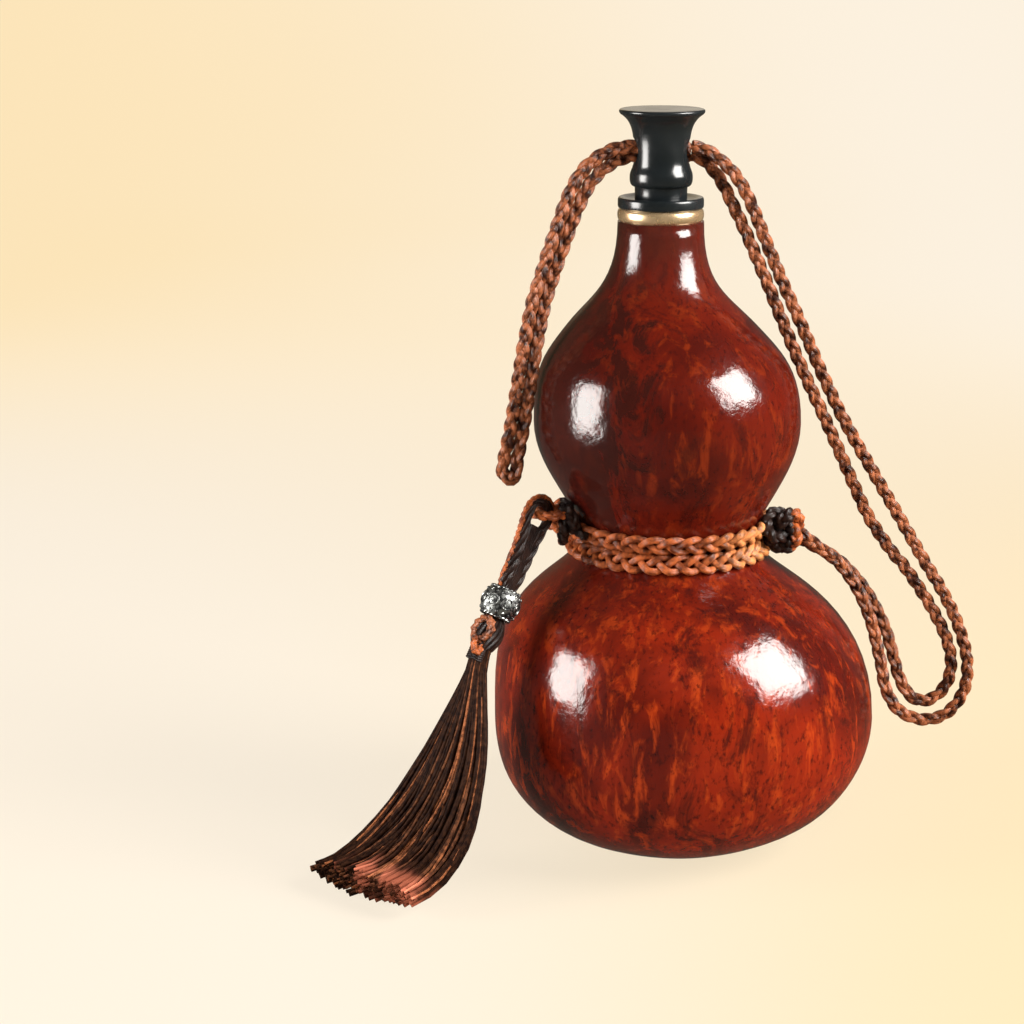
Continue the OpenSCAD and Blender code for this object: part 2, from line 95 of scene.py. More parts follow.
def apply_modifiers(piece):
    pick(piece)
    for modifier in list(piece.modifiers):
        bpy.ops.object.modifier_apply(modifier=modifier.name)


def join(name, parts):
    pick(parts[0])
    for part in parts[1:]:
        part.select_set(True)
    bpy.ops.object.join()
    return name_piece(bpy.context.object, name)


def turned(name, rings, sides=96, ends=(True, True), smooth=35):
    """A form drawn up ring by ring. Each ring is (x, y, z, radius) in mm."""
    clear_selection()
    x, y, z, r = rings[0]
    bpy.ops.mesh.primitive_circle_add(vertices=sides, radius=r / 1000, location=mm(x, y, z))
    piece = name_piece(bpy.context.object, name)
    settle(piece)
    bpy.ops.object.mode_set(mode="EDIT")
    bpy.ops.mesh.select_all(action="SELECT")
    if ends[0]:
        bpy.ops.mesh.edge_face_add()
        bpy.ops.mesh.select_all(action="SELECT")
        bpy.ops.mesh.select_mode(type="EDGE")
        bpy.ops.mesh.region_to_loop()
    for before, after in zip(rings, rings[1:]):
        step = mm(*(after[i] - before[i] for i in range(3)))
        bpy.ops.mesh.extrude_edges_move(TRANSFORM_OT_translate={"value": step})
        grow = after[3] / before[3]
        bpy.ops.transform.resize(value=(grow, grow, 1), center_override=mm(*after[:3]))
    if ends[1]:
        bpy.ops.mesh.edge_face_add()
    bpy.ops.mesh.select_all(action="SELECT")
    bpy.ops.mesh.normals_make_consistent(inside=False)
    bpy.ops.object.mode_set(mode="OBJECT")
    bpy.ops.object.shade_smooth_by_angle(angle=math.radians(smooth))
    return piece


def curve_at(a, b, c, d, t):
    return tuple(
        (1 - t) ** 3 * a[i] + 3 * (1 - t) ** 2 * t * b[i] + 3 * (1 - t) * t * t * c[i] + t**3 * d[i]
        for i in range(len(a))
    )


def curve(a, b, c, d, n):
    return [curve_at(a, b, c, d, i / n) for i in range(n)]


def ease(t):
    t = min(1, max(0, t))
    return t * t * (3 - 2 * t)


STEPS_BETWEEN_POINTS = 12


def smooth_line(points, spacing, closed=False):
    """Evenly spaced points, in metres, on a smooth line through points in mm."""
    p = [mm(*q) for q in points]
    n = len(p)
    fine = []
    for i in range(n if closed else n - 1):
        b, c = p[i], p[(i + 1) % n]
        a = p[i - 1] if closed or i > 0 else b + (b - c)
        d = p[(i + 2) % n] if closed or i < n - 2 else c + (c - b)
        for k in range(STEPS_BETWEEN_POINTS):
            t = k / STEPS_BETWEEN_POINTS
            bend = 2 * a - 5 * b + 4 * c - d
            turn = 3 * b - a - 3 * c + d
            fine.append(0.5 * (2 * b + (c - a) * t + bend * t * t + turn * t**3))
    fine.append(p[0].copy() if closed else p[-1].copy())
    run = [0.0]
    for a, b in zip(fine, fine[1:]):
        run.append(run[-1] + (b - a).length)
    count = max(4, round(run[-1] / (spacing / 1000)))
    line, k = [], 0
    for i in range(count if closed else count + 1):
        want = run[-1] * i / count
        while k < len(run) - 2 and run[k + 1] < want:
            k += 1
        part = (want - run[k]) / max(1e-9, run[k + 1] - run[k])
        line.append(fine[k].lerp(fine[k + 1], part))
    return line


def line_length(line):
    return sum((b - a).length for a, b in zip(line, line[1:]))


def headings(line, closed=False):
    n = len(line)
    found = []
    for i in range(n):
        a = line[i - 1] if closed or i > 0 else line[0]
        b = line[(i + 1) % n] if closed or i < n - 1 else line[-1]
        found.append((b - a).normalized())
    return found


def carried_sides(line, first, closed=False):
    """A direction square to the line at each point, carried along without twist."""
    ways = headings(line, closed)
    side = (first - first.dot(ways[0]) * ways[0]).normalized()
    sides = []
    for way in ways:
        side = (side - side.dot(way) * way).normalized()
        sides.append(side)
    return ways, sides


def strings(name, lines, thick, closed=False, round_steps=2, finishes=(), slots=None, widths=None,
            taper=None):
    """Round cords along lines of points in metres, as one mesh.

    Each cord can have its own finish and width, and a taper along its length.
    """
    data = bpy.data.curves.new(name, "CURVE")
    data.dimensions = "3D"
    data.bevel_depth = thick / 2000
    data.bevel_resolution = round_steps
    data.use_fill_caps = not closed
    for finish in finishes:
        data.materials.append(finish)
    for index, line in enumerate(lines):
        spline = data.splines.new("POLY")
        spline.points.add(len(line) - 1)
        width = widths[index] if widths else 1
        for i, (point, place) in enumerate(zip(spline.points, line)):
            point.co = (*place, 1)
            point.radius = width * (taper(i / (len(line) - 1)) if taper else 1)
        spline.use_cyclic_u = closed
        spline.use_smooth = True
        spline.material_index = slots[index] if slots else 0
    piece = bpy.data.objects.new(name, data)
    bpy.context.scene.collection.objects.link(piece)
    pick(piece)
    bpy.ops.object.convert(target="MESH")
    return name_piece(bpy.context.object, name)


def plait_lines(line, facing, width, thick, strand, turns, closed=False):
    """Three strands that cross over and under each other along a line."""
    ways, sides = facing
    swing, lift = (width - strand) / 2000, (thick - strand) / 2000
    n = len(line)
    lines = []
    for k in range(3):
        strand_line = []
        for i in range(n):
            a = math.tau * (turns * i / (n if closed else n - 1) + k / 3)
            out, across = sides[i], ways[i].cross(sides[i])
            strand_line.append(line[i] + across * swing * math.sin(a) + out * lift * math.sin(2 * a))
        lines.append(strand_line)
    return lines


TOWARDS_FRONT = (0, -1, 0)


def plaited_cord(name, route, width, thick, strand, period):
    """A plaited cord along a route in mm. Returns the piece and its centre line."""
    line = smooth_line(route, 0.9)
    facing = carried_sides(line, Vector(TOWARDS_FRONT))
    turns = round(line_length(line) * 1000 / period)
    piece = strings(name, plait_lines(line, facing, width, thick, strand, turns), strand)
    return piece, line


# ---- Finishes ----


class Finish:
    """A material and the small set of nodes that its pattern is made of."""

    def __init__(self, name):
        self.material = bpy.data.materials.new(name)
        self.material.use_nodes = True
        self.nodes = self.material.node_tree.nodes
        self.links = self.material.node_tree.links
        self.shader = self.nodes["Principled BSDF"]

    def node(self, kind, inputs=None, **settings):
        node = self.nodes.new("ShaderNode" + kind)
        for key, value in settings.items():
            setattr(node, key, value)
        for key, value in (inputs or {}).items():
            self.feed(node.inputs[key], value)
        return node

    def feed(self, socket, value):
        if isinstance(value, bpy.types.NodeSocket):
            self.links.new(value, socket)
        else:
            socket.default_value = value

    def set(self, **values):
        for key, value in values.items():
            self.feed(self.shader.inputs[key.replace("_", " ")], value)

    def place(self, scale=(1, 1, 1), source="Object"):
        coordinates = self.node("TexCoord").outputs[source]
        return self.node("Mapping", {"Vector": coordinates, "Scale": scale}).outputs[0]

    def split(self, source="Object"):
        """The three numbers of a place, each as a socket of its own."""
        return self.node("SeparateXYZ", {0: self.place(source=source)}).outputs

    def noise(self, scale, detail=2, rough=0.5, place=None, distortion=0):
        return self.node(
            "TexNoise",
            {"Vector": place or self.place(), "Scale": scale, "Detail": detail, "Roughness": rough,
             "Distortion": distortion},
        ).outputs[0]

    def levels(self, value, low, high, to_low=0.0, to_high=1.0):
        return self.node(
            "MapRange",
            {"Value": value, "From Min": low, "From Max": high, "To Min": to_low, "To Max": to_high},
            interpolation_type="SMOOTHSTEP",
        ).outputs[0]

    def maths(self, operation, a, b=0.0):
        return self.node("Math", {0: a, 1: b}, operation=operation).outputs[0]

    def mix(self, factor, a, b, blend="MIX"):
        node = self.node("Mix", data_type="RGBA", blend_type=blend)
        for index, value in ((0, factor), (6, a), (7, b)):
            self.feed(node.inputs[index], value if not isinstance(value, tuple) else (*value, 1))
        return node.outputs[2]

    def bump(self, height, strength, distance, under=None):
        inputs = {"Height": height, "Strength": strength, "Distance": distance}
        if under is not None:
            inputs["Normal"] = under
        return self.node("Bump", inputs).outputs[0]


def varnished_skin():
    """Mottled red-brown skin under varnish: streaks that run up the gourd, stains and specks."""
    f = Finish("varnished gourd skin")
    patches = f.noise(24, 3, 0.55, f.place((1, 1, 0.8)), 0.8)
    streaks = f.noise(210, 4, 0.62, f.place((1, 1, 0.30)), 0.6)
    specks = f.noise(640, 3, 0.65, f.place((1, 1, 0.6)))
    stains = f.noise(70, 5, 0.7, f.place((1, 1, 0.5)), 1.2)
    colour = f.mix(f.levels(patches, 0.38, 0.60), (0.058, 0.0045, 0.0024), (0.172, 0.0115, 0.0030))
    colour = f.mix(f.levels(streaks, 0.49, 0.68, 0, 0.75), colour, (0.32, 0.034, 0.005))
    colour = f.mix(f.levels(stains, 0.50, 0.66, 0, 0.8), colour, (0.034, 0.004, 0.003))
    colour = f.mix(f.levels(specks, 0.50, 0.72, 0, 0.75), colour, (0.022, 0.0028, 0.002))
    across, _, height = f.split()
    # Darker from below the waist up over the crown: the crown's own darker skin, and below the waist painted
    # shade under the lashing
    crown_and_band_shade = f.levels(height, 0.062, 0.118)
    colour = f.mix(f.maths("MULTIPLY", crown_and_band_shade, 0.60), colour, (0.030, 0.003, 0.002))
    ragged = f.maths("ADD", across, f.levels(stains, 0.3, 0.7, -0.02, 0.02))
    shade = f.maths("MULTIPLY", crown_and_band_shade, f.levels(ragged, -0.01, -0.03))
    colour = f.mix(f.maths("MULTIPLY", shade, 0.85), colour, (0.018, 0.004, 0.003))
    neck = f.maths("MULTIPLY", f.levels(height, 0.172, 0.200), f.levels(streaks, 0.35, 0.60, 0.35, 0.85))
    colour = f.mix(neck, colour, (0.042, 0.009, 0.006))
    grain = f.bump(f.noise(520, 3, 0.6), 0.12, 0.0003)
    skin = f.bump(f.noise(95, 2, 0.5), 0.30, 0.0012, grain)
    f.set(Base_Color=colour, Roughness=f.levels(specks, 0.3, 0.7, 0.40, 0.55), Normal=skin)
    brushed = f.bump(f.noise(260, 4, 0.6), 0.30, 0.0006, f.bump(f.noise(80, 2, 0.5), 0.25, 0.0012))
    f.set(Specular_IOR_Level=0.0, Coat_Weight=0.9, Coat_Roughness=0.14, Coat_Normal=brushed)
    return f.material


# Painted shade in the grooves between a cord's threads, also the colour of its dark flecks
GROOVE_SHADE_AND_FLECK = (0.016, 0.005, 0.003)


def thread_lines(f, count, twist):
    """Fine threads that run along a cord and wind slowly round it."""
    along, around, _ = f.split("UV")
    turn = f.maths("ADD", f.maths("MULTIPLY", around, count), f.maths("MULTIPLY", along, twist))
    return f.maths("SINE", f.maths("MULTIPLY", turn, math.tau))


def satin_cord(name, dark, bright, gloss=0.36, twist=60, gold_highlight=None):
    """Satin cord: fine threads that wind along each strand, with uneven dye, dark flecks and painted shade
    in the grooves between the threads.

    With a gold highlight colour the cord turns to it on its lit side, which is +X: a painted highlight.
    """
    f = Finish(name)
    dye = f.noise(330, 3, 0.6)
    fleck = f.noise(1300, 2, 0.5)
    threads = thread_lines(f, 16, twist)
    # Painted highlight: gold on the cord's +X side, where the right lamp falls
    if gold_highlight:
        lit_side = f.levels(f.split()[0], 0.004, 0.026)
        dark = f.mix(lit_side, dark, tuple(0.3 * c for c in gold_highlight))
        bright = f.mix(lit_side, bright, gold_highlight)
    colour = f.mix(f.levels(dye, 0.36, 0.62), dark, bright)
    # Painted shade in the grooves between the threads
    colour = f.mix(f.levels(threads, -0.2, -1.0, 0, 0.35), colour, GROOVE_SHADE_AND_FLECK)
    colour = f.mix(f.levels(fleck, 0.45, 0.70, 0, 0.3), colour, GROOVE_SHADE_AND_FLECK)
    relief = f.bump(threads, 0.5, 0.00010, f.bump(fleck, 0.3, 0.0002))
    f.set(Base_Color=colour, Roughness=gloss, Normal=relief, Specular_IOR_Level=0.35)
    return f.material


def tassel_thread(name, dark, bright, tip, worn):
    """Thin cord of the skirt. A worn one has its dye rubbed pale where it was cut."""
    f = Finish(name + (" with pale end" if worn else ""))
    dye = f.noise(620, 3, 0.6)
    colour = f.mix(f.levels(dye, 0.38, 0.62), dark, bright)
    if worn:
        along = f.split("UV")[0]
        patch = f.noise(110, 2, 0.5)
        rubbed = f.maths("MULTIPLY", f.levels(along, 0.87, 0.98), f.levels(patch, 0.42, 0.56, 0.1, 1.0))
        colour = f.mix(rubbed, colour, tip)
    fibre = f.noise(9, 2, 0.6, f.place((40, 1, 1), "UV"))
    relief = f.bump(fibre, 0.3, 0.0001)
    f.set(Base_Color=colour, Roughness=0.55, Normal=relief, Specular_IOR_Level=0.04)
    return f.material


def black_turning():
    """Black lacquered turning, with faint lathe lines and a little wear."""
    f = Finish("black turning")
    lathe = f.noise(900, 2, 0.5, f.place((0.02, 0.02, 1)))
    worn = f.noise(60, 3, 0.6)
    colour = f.mix(f.levels(worn, 0.35, 0.7), (0.006, 0.008, 0.009), (0.011, 0.014, 0.016))
    f.set(Base_Color=colour, Roughness=f.levels(worn, 0.3, 0.7, 0.19, 0.27),
          Normal=f.bump(lathe, 0.06, 0.0002))
    return f.material


def polished_brass():
    """Brass with a slightly uneven tone and fine scratches round the ring."""
    f = Finish("polished brass")
    tone = f.noise(140, 3, 0.6)
    scratch = f.noise(1400, 2, 0.5, f.place((1, 1, 6)))
    colour = f.mix(f.levels(tone, 0.3, 0.7), (0.74, 0.52, 0.29), (0.84, 0.62, 0.37))
    f.set(Base_Color=colour, Metallic=0.85, Roughness=f.levels(tone, 0.3, 0.7, 0.22, 0.32),
          Normal=f.bump(scratch, 0.06, 0.0001))
    return f.material


def blackened_silver():
    """Silver that is dark in its hollows and pitted."""
    f = Finish("blackened silver")
    tone = f.noise(700, 3, 0.6)
    pit = f.noise(2200, 2, 0.5)
    colour = f.mix(f.levels(tone, 0.42, 0.66), (0.05, 0.05, 0.05), (0.52, 0.54, 0.52))
    f.set(Base_Color=colour, Metallic=1.0, Roughness=f.levels(tone, 0.3, 0.7, 0.50, 0.34),
          Normal=f.bump(pit, 0.25, 0.0002))
    return f.material


def cork():
    """Cork with grain and dark pores."""
    f = Finish("cork")
    grain = f.noise(520, 4, 0.65)
    pores = f.node("TexVoronoi", {"Vector": f.place(), "Scale": 520}).outputs["Distance"]
    colour = f.mix(f.levels(grain, 0.35, 0.65), (0.42, 0.25, 0.12), (0.66, 0.45, 0.25))
    colour = f.mix(f.levels(pores, 0.0, 0.22, 0.8, 0.0), colour, (0.16, 0.08, 0.04))
    f.set(Base_Color=colour, Roughness=0.8, Normal=f.bump(grain, 0.5, 0.0004))
    return f.material


def soft_seal():
    """Pale soft seal."""
    f = Finish("soft seal")
    tone = f.noise(300, 2, 0.5)
    colour = f.mix(f.levels(tone, 0.3, 0.7), (0.66, 0.62, 0.55), (0.76, 0.73, 0.67))
    f.set(Base_Color=colour, Roughness=f.levels(tone, 0.3, 0.7, 0.45, 0.6), Normal=f.bump(tone, 0.1, 0.0002))
    f.set(Subsurface_Weight=0.1)
    return f.material


def dress(piece, *materials):
    piece.data.materials.clear()
    for material in materials:
        piece.data.materials.append(material)


COPPER = satin_cord("copper plait", (0.15, 0.030, 0.007), (0.50, 0.125, 0.034), 0.34)
# The lashing's plait, with a painted gold highlight on its right side
BAND = satin_cord(
    "golden copper plait", (0.11, 0.022, 0.006), (0.43, 0.105, 0.029), 0.34, gold_highlight=(0.74, 0.29, 0.10))
BROWN = satin_cord("brown plait", (0.032, 0.008, 0.004), (0.37, 0.118, 0.050), 0.33, 150)
DARK = satin_cord("dark cord", (0.006, 0.003, 0.0025), (0.022, 0.009, 0.006), 0.36)
# Name, dark and bright dye, and the pale tone of a worn tip
THREADS = (
    ("dark tassel thread", (0.008, 0.003, 0.002), (0.026, 0.010, 0.005), (0.26, 0.075, 0.042)),
    ("brown tassel thread", (0.034, 0.013, 0.007), (0.115, 0.042, 0.019), (0.44, 0.135, 0.080)),
    ("copper tassel thread", (0.085, 0.028, 0.012), (0.28, 0.095, 0.038), (0.66, 0.22, 0.13)),
)
BLACK = black_turning()

# ---- Carrying cord, by the same points as the solids ----

WAIST_R, WAIST_Z, WAIST_LEAN = 26.8, 102.8, -3.2
LASH_R = WAIST_R + 0.2 + 3.8


def beside_waist(out, azimuth, up):
    """A point in mm outside the lashing, by its compass direction and its height over the waist."""
    a = math.radians(azimuth)
    return (WAIST_LEAN + (LASH_R + out) * math.cos(a), (LASH_R + out) * math.sin(a), WAIST_Z + up)


KNOT_RIGHT = beside_waist(7.4, -13.6, 3.2)


def from_knot(x, y, z):
    return (KNOT_RIGHT[0] + x, KNOT_RIGHT[1] + y, KNOT_RIGHT[2] + z)


OUTER_ROUTE = [
    (2.4, -1.4, 226.2), (6.5, -1.8, 225.2), (10.5, -2.2, 222.6), (14.5, -2.6, 219), (17.9, -3, 214.3),
    (20.8, -3, 208.8), (24, -3.5, 201.1), (30.4, -4, 186), (37.3, -5, 171), (44, -5, 156), (51.4, -5, 141),
    (60.7, -5, 125), (70.3, -4, 109), (79.8, -4, 93), (84.8, -4, 85), (89, -4, 77), (92.2, -4, 69),
    (94.2, -4, 61), (94.2, -4, 53), (91.6, -4, 46.5), (86.9, -4, 42), (79.7, -4, 40.8), (72.6, -4, 44),
    (68.4, -3.5, 51), (66.4, -3, 60), (64.2, -3, 69), (61.2, -4, 78), (57, -5, 86.5), (51.5, -6, 94),
    (46, -6.4, 98.6), (42, -6.5, 101.6), from_knot(4.5, 1.5, -1.5),
]
INNER_ROUTE = [
    (2.4, 1.4, 223.2), (6, 1.2, 221.8), (9, 0.8, 219), (12, 0.2, 214.8), (15, -1, 208.8),
    (18.8, -2.5, 201.1), (25.5, -4, 186), (31.8, -5, 171), (38.4, -5, 156), (45.6, -5, 141), (53, -4, 125),
    (60.6, -3, 109), (68, -3, 98), (73, -3, 92), (78.6, -3, 84), (83.2, -3, 76.6), (87, -3, 69),
    (89.2, -3, 61), (88.6, -3, 54), (85.4, -3, 49), (81, -3, 46.8), (76.4, -3, 48.6), (73, -2, 54),
    (71, 0.5, 61), (68.2, 1.5, 70), (63.8, 1.5, 79), (58, 0.5, 87.4), (51.5, -1, 94), (46, -2, 97.6),
    (42, -2.4, 99.8), from_knot(2, 5, -2.6),
]
LOOP_ROUTE = [
    (1.6, -1.4, 226.2), (-4, -1.4, 226.2), (-10, -1.4, 226.2), (-16, -1.6, 226.2), (-22, -3, 225.4),
    (-27.5, -4, 222.6), (-32.2, -5, 218.2), (-35.8, -6, 211.7), (-38.8, -7, 203.7), (-42, -8.5, 194.6),
    (-44.4, -9, 187), (-46.8, -10, 179.4), (-48.4, -10.5, 172), (-49.8, -11, 164.6), (-51.6, -11, 153),
    (-54, -11, 138), (-56, -11, 128), (-56, -11, 124.6), (-54, -11, 122.8), (-52, -11, 124.6),
    (-51.8, -11, 128), (-50, -10.4, 138), (-47.6, -10.2, 153), (-45.8, -10, 164.6), (-44.4, -9, 172),
    (-42.8, -8, 179.4), (-40.4, -7, 187), (-38, -6, 194), (-34.8, -4.6, 202.8), (-32, -3.4, 209.5),
    (-28.8, -2, 215.2), (-24.6, -0.6, 219.4), (-20, 0.6, 222), (-15.6, 1.2, 223), (-10, 1.4, 223.2),
    (-4, 1.4, 223.2), (1.6, 1.4, 223.2),
]
CORD_PERIOD = 14.5


def carrying_strand(name, route, width=4.3):
    """One strand of the carrying cord, a flat plait. Returns the piece and its centre line."""
    piece, line = plaited_cord(name, route, width, 0.8 * width, 0.47 * width, CORD_PERIOD)
    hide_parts(name.replace("plaited_", ""))
    return piece, line


outer_cord, outer_line = carrying_strand("plaited_carry_cord_outer", OUTER_ROUTE)
inner_cord, inner_line = carrying_strand("plaited_carry_cord_inner", INNER_ROUTE)
loop_cord, loop_line = carrying_strand("plaited_carry_loop", LOOP_ROUTE, 4.6)

for piece in (outer_cord, inner_cord):
    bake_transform(piece)
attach(loop_cord, "stopper")

# ---- Gourd ----

BELLY_R, BELLY_Z = 61.5, 43
CROWN_R, CROWN_Z = 42.3, 139.5
SHOULDER_R, SHOULDER_Z = 30, 170
NECK_R, NECK_Z = 13.4, 203
FOOT_CUT = 1
# Half outline as radius and height, from the round bottom to the neck's top
OUTLINE = (
    curve((0, -FOOT_CUT), (0.82 * BELLY_R, -FOOT_CUT), (BELLY_R, 0.56 * BELLY_Z), (BELLY_R, BELLY_Z), 24)
    + curve((BELLY_R, BELLY_Z), (BELLY_R, BELLY_Z + 0.75 * (WAIST_Z - BELLY_Z)),
            (WAIST_R + 6.6, WAIST_Z - 17.8), (WAIST_R, WAIST_Z), 18)
    + curve((WAIST_R, WAIST_Z), (WAIST_R + 6.4, WAIST_Z + 14.2),
            (CROWN_R, CROWN_Z - 0.35 * (CROWN_Z - WAIST_Z)), (CROWN_R, CROWN_Z), 12)
    + curve((CROWN_R, CROWN_Z), (CROWN_R, CROWN_Z + 0.55 * (SHOULDER_Z - CROWN_Z)),
            (SHOULDER_R + 8.2, SHOULDER_Z - 9.4), (SHOULDER_R, SHOULDER_Z), 12)
    + curve((SHOULDER_R, SHOULDER_Z), (SHOULDER_R - 8.2, SHOULDER_Z + 9.4),
            (NECK_R, NECK_Z - 0.62 * (NECK_Z - SHOULDER_Z)), (NECK_R, NECK_Z), 14)
    + [(NECK_R, NECK_Z)]
)
NECK_X = -7
LEAN_AT = [(0, 0), (BELLY_Z, 2.5), (WAIST_Z, WAIST_LEAN), (CROWN_Z, -4), (NECK_Z - 15, NECK_X)]


def lean(z):
    """Where the gourd's centre line stands sideways at a height."""
    for (z0, x0), (z1, x1) in zip(LEAN_AT, LEAN_AT[1:]):
        if z <= z1:
            return x0 + (x1 - x0) * ease((z - z0) / (z1 - z0))
    return LEAN_AT[-1][1]


def gourd_radius(z):
    for (r0, z0), (r1, z1) in zip(OUTLINE, OUTLINE[1:]):
        if z0 <= z <= z1:
            return r0 + (r1 - r0) * (z - z0) / (z1 - z0)
    return NECK_R


def make_gourd():
    """The skin as one turned form on a leaning line, grown a little unevenly, with its wall inside."""
    foot = [(0, 0, 0, gourd_radius(0) - 0.6), (0, 0, 0.15, gourd_radius(0.15))]
    rings = foot + [(lean(z), 0, z, r) for r, z in OUTLINE if z > 0.4]
    gourd = turned("varnished_gourd", rings, sides=128, ends=(True, False), smooth=60)
    swell = bpy.data.textures.new("grown_unevenly", "CLOUDS")
    swell.noise_scale = 0.045
    swell.noise_depth = 1
    grown = gourd.modifiers.new("grown_unevenly", "DISPLACE")
    grown.texture = swell
    grown.strength = 0.0007
    grown.mid_level = 0.5
    wall = gourd.modifiers.new("wall", "SOLIDIFY")
    wall.thickness = 0.003
    wall.offset = -1
    apply_modifiers(gourd)
    return gourd


gourd = make_gourd()
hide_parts("gourd_shell")
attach(gourd, "bottle")

# ---- Neck fittings and stopper ----

RING_Z = NECK_Z + 4.2
COLLAR_Z = RING_Z + 3.4
SEAT_Z = COLLAR_Z - 1
RIM_Z = SEAT_Z + 28.2
HOLE_Z = SEAT_Z + 15.2
BORE_R, SLEEVE_R, SLEEVE_END = 7.5, 10.2, 190
PLUG_R, PLUG_END = 7.2, 190.6
SEAL_Z = (195.1, 205.1)
SEAL_R, SEAL_GROOVE = 1.0, 0.95


def on_neck(profile):
    """Rings round the neck's centre line, from pairs of radius and height."""
    return [(NECK_X, 0, z, r) for r, z in profile]


def make_brass_ring():
    """A ring that bows outwards between two thin edges."""
    inner_r, edge_r, bow_r, middle = 10.3, 12.5, 12.9, NECK_Z + 2.1
    bow = [(bow_r + 0.6 * math.sin(a), middle - 1.7 * math.cos(a))
           for a in (math.radians(d) for d in range(10, 180, 16))]
    bottom = [(inner_r, NECK_Z), (edge_r, NECK_Z), (edge_r + 0.25, NECK_Z + 0.1), (bow_r, NECK_Z + 0.3)]
    top = [(bow_r, RING_Z - 0.3), (edge_r + 0.25, RING_Z - 0.1), (edge_r, RING_Z), (inner_r, RING_Z)]
    bore = [(inner_r - 0.05, NECK_Z + 1.5), (inner_r, NECK_Z)]
    return turned("polished_brass_ring", on_neck(bottom + bow + top + bore), ends=(False, False), smooth=60)


ring = make_brass_ring()
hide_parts("brass_ring")
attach(ring, "bottle")

collar = turned("turned_collar", on_neck(
    [(BORE_R, SLEEVE_END + 0.4), (BORE_R + 0.3, SLEEVE_END), (SLEEVE_R - 0.6, SLEEVE_END),
     (SLEEVE_R, SLEEVE_END + 0.6), (SLEEVE_R, RING_Z), (13.0, RING_Z), (13.3, RING_Z + 0.25),
     (13.4, RING_Z + 0.7), (13.4, COLLAR_Z - 0.9), (13.3, COLLAR_Z - 0.45), (13.05, COLLAR_Z - 0.12),
     (12.7, COLLAR_Z), (12.2, COLLAR_Z - 0.06), (11, COLLAR_Z - 0.55), (9.7, COLLAR_Z - 0.93), (8.6, SEAT_Z),
     (BORE_R + 0.3, SEAT_Z), (BORE_R, SEAT_Z - 0.3), (BORE_R, SLEEVE_END + 0.4)]),
    ends=(False, False))
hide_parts("mouth_collar")
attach(collar, "bottle")


def make_knob():
    """Foot, turned bead, waist, flare, rounded lip and dished top, with the cord hole drilled across."""
    seat, rim, bead_r, waist_r = SEAT_Z, RIM_Z, 9.8, 8.6
    profile = [(3.5, 197.7), (3.5, seat), (7.9, seat), (8.15, seat + 0.2), (8.2, seat + 0.6)]
    profile += [(8.15, seat + 2.4), (8.2, seat + 4.0)]
    profile += curve((8.25, seat + 4.2), (bead_r, seat + 4.2), (bead_r, seat + 6.2), (bead_r, seat + 7), 12)
    profile += curve((bead_r, seat + 7), (bead_r, seat + 9.4), (waist_r, seat + 9.4), (waist_r, seat + 13),
                     14)
    profile += curve((waist_r, seat + 13), (waist_r, seat + 20.5), (9.2, rim - 4.4), (12.3, rim - 2.1), 22)
    profile += curve((12.3, rim - 2.1), (13.5, rim - 1.5), (13.7, rim - 0.3), (12.6, rim - 0.15), 10)
    profile += curve((12.6, rim - 0.15), (9.6, rim - 0.35), (4.3, rim - 0.5), (0.3, rim - 0.5), 10)
    knob = turned("turned_knob", on_neck(profile), smooth=40)
    clear_selection()
    bpy.ops.mesh.primitive_cylinder_add(
        vertices=48, radius=0.0042, depth=0.05, location=mm(NECK_X, 0, HOLE_Z),
        rotation=(0, math.radians(90), 0))
    drill = name_piece(bpy.context.object, "drill")
    settle(drill)
    hole = knob.modifiers.new("cord_hole", "BOOLEAN")
    hole.operation = "DIFFERENCE"
    hole.object = drill
    hole.solver = "MANIFOLD"
    eased = knob.modifiers.new("eased_hole", "BEVEL")
    eased.width = 0.0005
    eased.segments = 3
    eased.limit_method = "ANGLE"
    eased.angle_limit = math.radians(50)
    apply_modifiers(knob)
    bpy.data.objects.remove(drill)
    return knob


knob = make_knob()
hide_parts("stopper_knob")
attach(knob, "stopper")


def seal_groove(z, steps=8):
    """Half-round groove in the plug's side, from its lower edge to its upper one."""
    groove = [(PLUG_R, z - SEAL_GROOVE)]
    for i in range(1, steps):
        a = math.pi * (i / steps - 0.5)
        groove.append((PLUG_R - SEAL_GROOVE * math.cos(a), z + SEAL_GROOVE * math.sin(a)))
    return groove + [(PLUG_R, z + SEAL_GROOVE)]


plug = turned("cork_plug", on_neck(
    [(0.3, PLUG_END), (5.9, PLUG_END), (6.4, PLUG_END + 0.1), (PLUG_R, PLUG_END + 1.1)]
    + [point for z in SEAL_Z for point in seal_groove(z)]
    + [(PLUG_R, SEAT_Z - 0.1), (3.6, SEAT_Z - 0.05)]))
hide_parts("stopper_plug")
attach(plug, "stopper")



def torus(radius, thick, place, turn=(0, 0, 0), segments=28, sides=8):
    """A ring of round section: its radius, its thickness and its place in mm."""
    clear_selection()
    bpy.ops.mesh.primitive_torus_add(
        major_radius=radius / 1000, minor_radius=thick / 2000, major_segments=segments, minor_segments=sides,
        location=mm(*place), rotation=turn)
    piece = bpy.context.object
    settle(piece)
    bpy.ops.object.shade_smooth()
    return piece


seals = [torus(6.45, 2 * SEAL_R, (NECK_X, 0, z), segments=72, sides=16) for z in SEAL_Z]
seals = join("soft_seal_rings", seals)
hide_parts("seal_rings")
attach(seals, "stopper")

# ---- Waist lashing and knots ----

PLAIT_TURNS = 11
LASH_WIDTH, LASH_THICK, LASH_STRAND = 6.6, 4.0, 2.35


